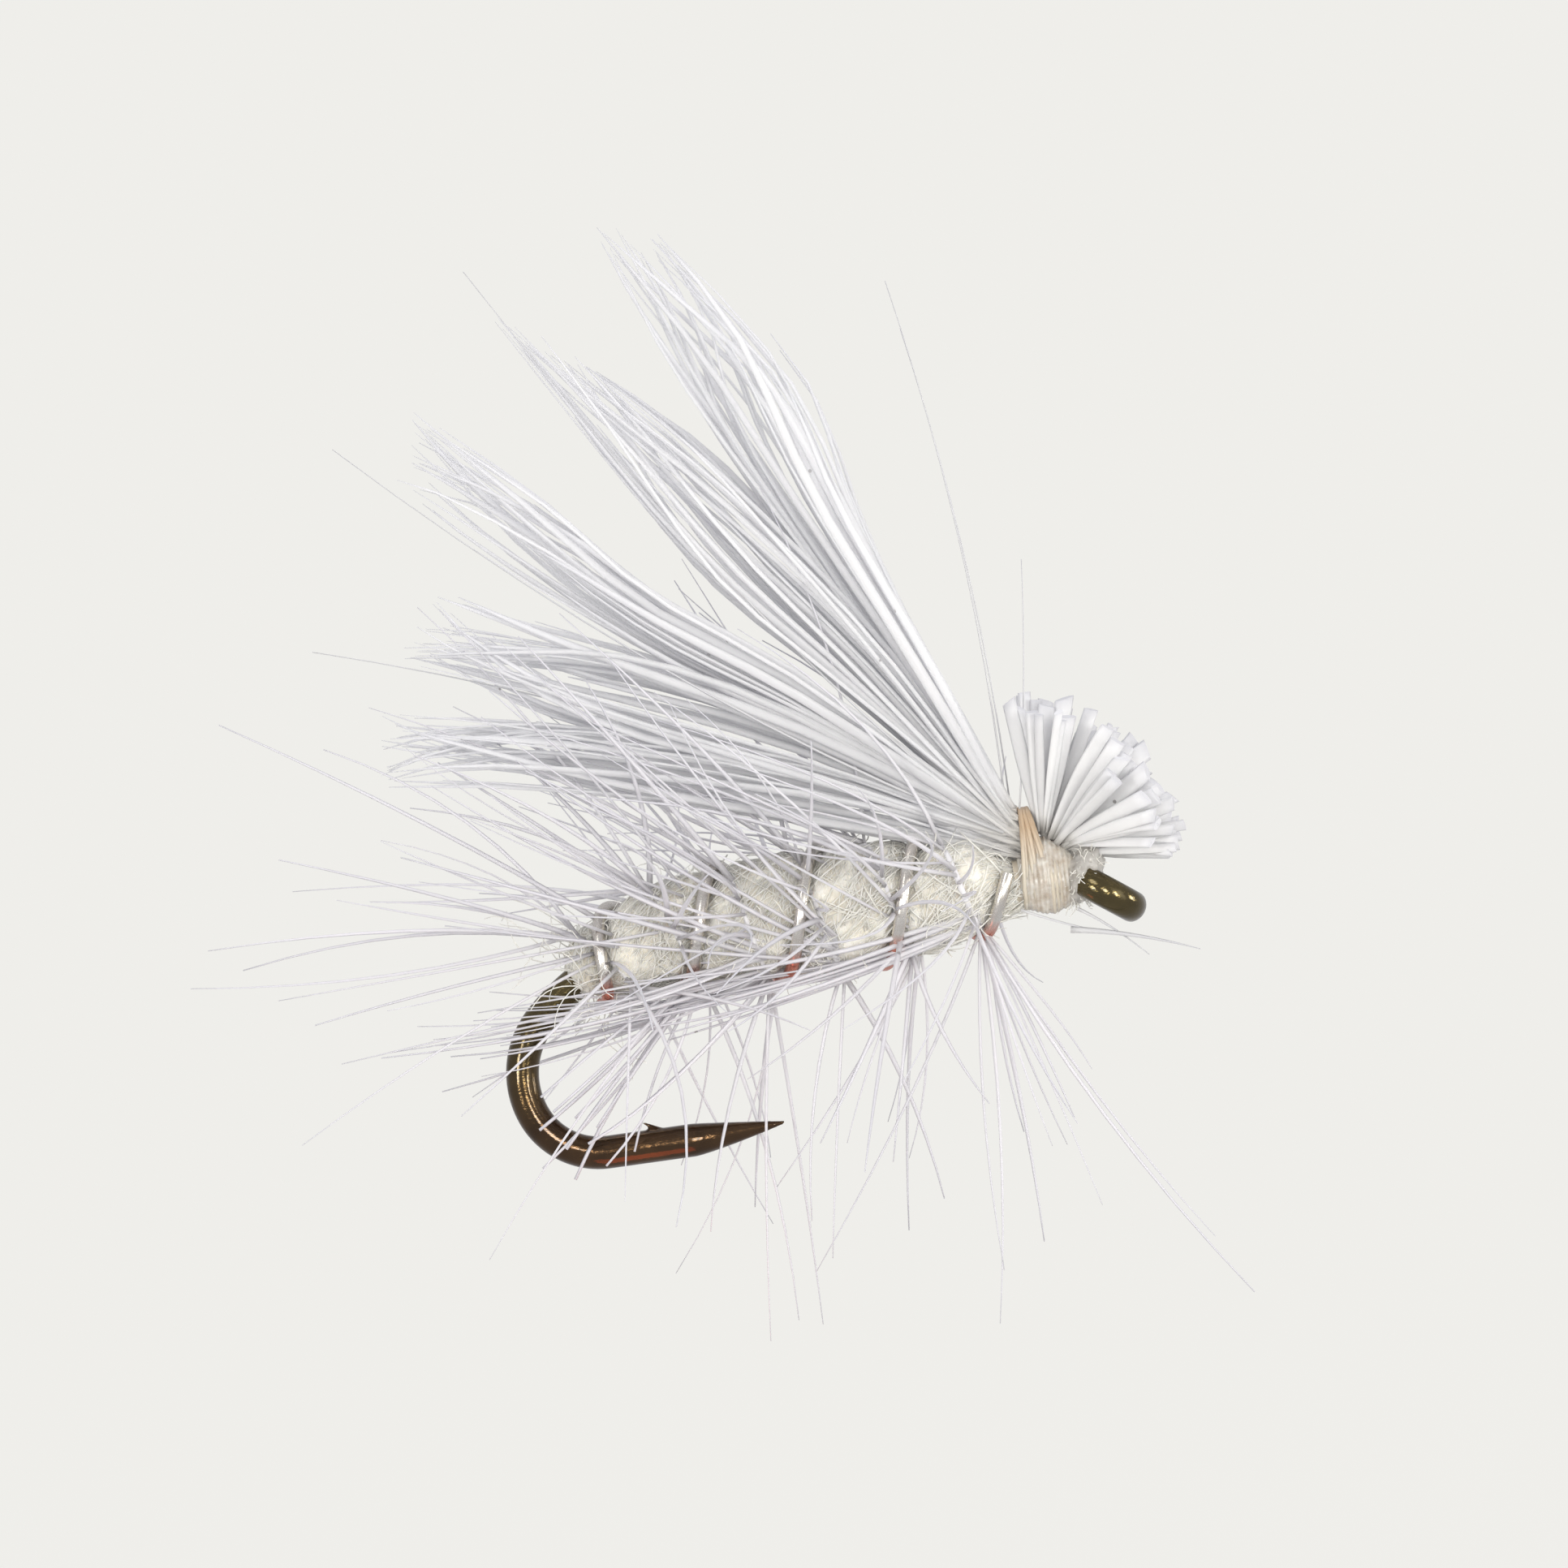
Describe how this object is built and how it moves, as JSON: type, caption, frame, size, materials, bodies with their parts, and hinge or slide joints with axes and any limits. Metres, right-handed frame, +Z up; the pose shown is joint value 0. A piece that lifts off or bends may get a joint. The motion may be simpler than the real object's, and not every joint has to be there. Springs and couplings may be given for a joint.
{
  "type": "dry fly",
  "caption": "Floating trout fly on a bronzed down-eye barbed hook: ribbed fur body, wound hackle, flared hair wing with cut stubs over a thread head.",
  "frame": {"origin": "centre of the hook eye's hole", "axes": "+X forward along the hook shank towards the eye, +Z up on the wing's side, away from the hook point, Y across from side to side"},
  "size_m": [0.0143, 0.0126, 0.0176],
  "materials": {
    "hook_bronze": "dark brown bronzed and lacquered hook wire, glossy",
    "thread_cream": "waxed cream tying thread, wound in touching turns",
    "thread_tan": "waxed thread, pale tan where it is pulled tight over the hair",
    "cement_clear": "clear head cement, slightly fuzzy",
    "dubbing_cream": "off-white spun fur, translucent, with loose fibres",
    "rib_silver": "bright fine silver wire",
    "hackle_white": "white cock hackle, stiff glossy barbs",
    "hair_white": "white hollow body hair, semi-translucent with a pale grey shade"
  },
  "bodies": {
    "root": {"hook": "hook_bronze", "thread_base": "thread_cream", "front_tie_off": "thread_cream", "thread_head": "thread_cream", "head_cement": "cement_clear", "whip_finish": "thread_cream", "rear_tie_in": "thread_cream", "dubbed_body": "dubbing_cream", "rib_wire": "rib_silver", "hackle_quill": "hackle_white", "loose_hairs": "hair_white", "wing_collar": "thread_tan", "hackle_barbs_1": "hackle_white", "hackle_barbs_2": "hackle_white", "hackle_barbs_3": "hackle_white", "hackle_barbs_4": "hackle_white", "hackle_barbs_5": "hackle_white", "hackle_barbs_6": "hackle_white", "wing_tuft_1": "hair_white", "wing_tuft_2": "hair_white", "wing_tuft_3": "hair_white", "wing_tuft_4": "hair_white", "wing_tuft_5": "hair_white"}
  },
  "joints": []
}
